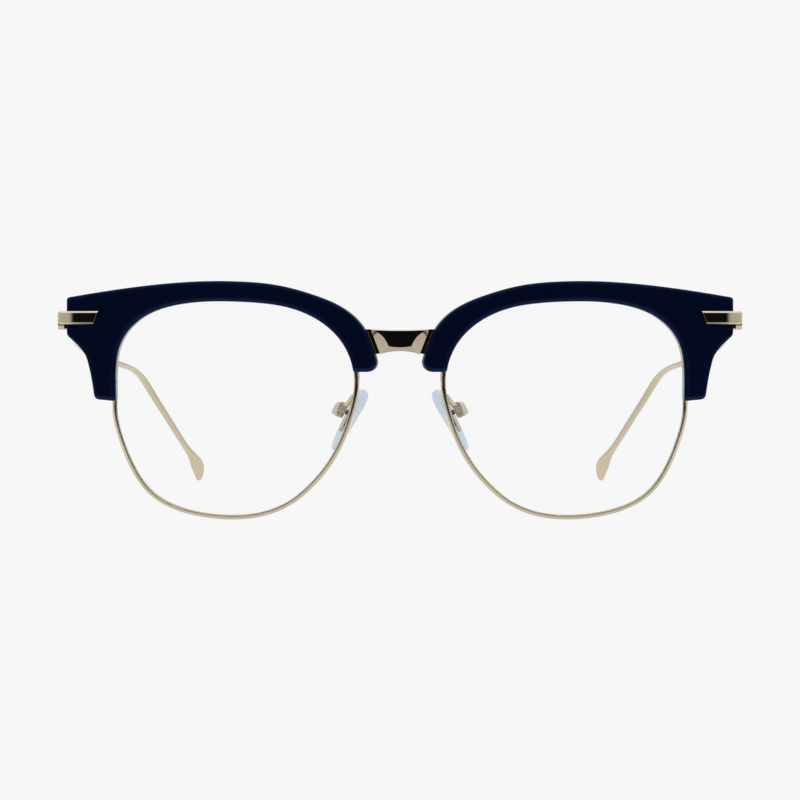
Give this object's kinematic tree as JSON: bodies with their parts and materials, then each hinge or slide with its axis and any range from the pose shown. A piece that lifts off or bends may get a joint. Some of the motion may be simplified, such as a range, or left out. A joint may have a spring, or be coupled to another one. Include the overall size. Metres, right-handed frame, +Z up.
{
  "type": "browline glasses",
  "caption": "Browline glasses with dark blue acetate brows over thin gold metal rims, clear lenses, a faceted bridge, rocking nose pads and folding wire temples.",
  "frame": {"origin": "middle of the footprint on the table, at the height of the rim bottoms and temple tips", "axes": "+X to the wearer's left, +Y back towards the ears, +Z up; the front faces -Y"},
  "size_m": [0.1496, 0.139, 0.0497],
  "materials": {
    "acetate": "polished dark blue cellulose acetate",
    "gold_metal": "polished pale gold plating",
    "lens": "clear, coated",
    "silicone": "clear soft silicone, pale blue",
    "steel": "bright steel screws"
  },
  "bodies": {
    "front": {"bridge": "gold_metal", "left_brow": "acetate", "left_rim": "gold_metal", "left_lens": "lens", "left_closing_block": "gold_metal", "left_closing_screw": "steel", "left_endpiece": "gold_metal", "left_front_hinge": "gold_metal", "left_hinge_screw": "steel", "left_pad_arm": "gold_metal", "left_pad_screw": "steel", "left_end_screws": "steel", "left_brow_screw": "steel", "right_brow": "acetate", "right_rim": "gold_metal", "right_lens": "lens", "right_closing_block": "gold_metal", "right_closing_screw": "steel", "right_endpiece": "gold_metal", "right_front_hinge": "gold_metal", "right_hinge_screw": "steel", "right_pad_arm": "gold_metal", "right_pad_screw": "steel", "right_end_screws": "steel", "right_brow_screw": "steel"},
    "left_temple_arm": {"left_temple": "gold_metal", "left_temple_hinge": "gold_metal"},
    "left_pad": {"left_pad_mount": "gold_metal", "left_nose_pad": "silicone"},
    "right_temple_arm": {"right_temple": "gold_metal", "right_temple_hinge": "gold_metal"},
    "right_pad": {"right_pad_mount": "gold_metal", "right_nose_pad": "silicone"}
  },
  "joints": [
    {"name": "left_temple_fold", "type": "hinge", "parent": "front", "child": "left_temple_arm", "pos_m": [0.0697, -0.05051, 0.0416], "axis": [0, 0, 1], "range_deg": [0, 85]},
    {"name": "right_temple_fold", "type": "hinge", "parent": "front", "child": "right_temple_arm", "pos_m": [-0.0697, -0.05051, 0.0416], "axis": [0, 0, -1], "range_deg": [0, 80]},
    {"name": "left_pad_rock", "type": "hinge", "parent": "front", "child": "left_pad", "pos_m": [0.0124, -0.05901, 0.02275], "axis": [0.2419, 0.9703, 0], "range_deg": [-8, 8]},
    {"name": "right_pad_rock", "type": "hinge", "parent": "front", "child": "right_pad", "pos_m": [-0.0124, -0.05901, 0.02275], "axis": [0.2419, -0.9703, 0], "range_deg": [-8, 8]}
  ]
}
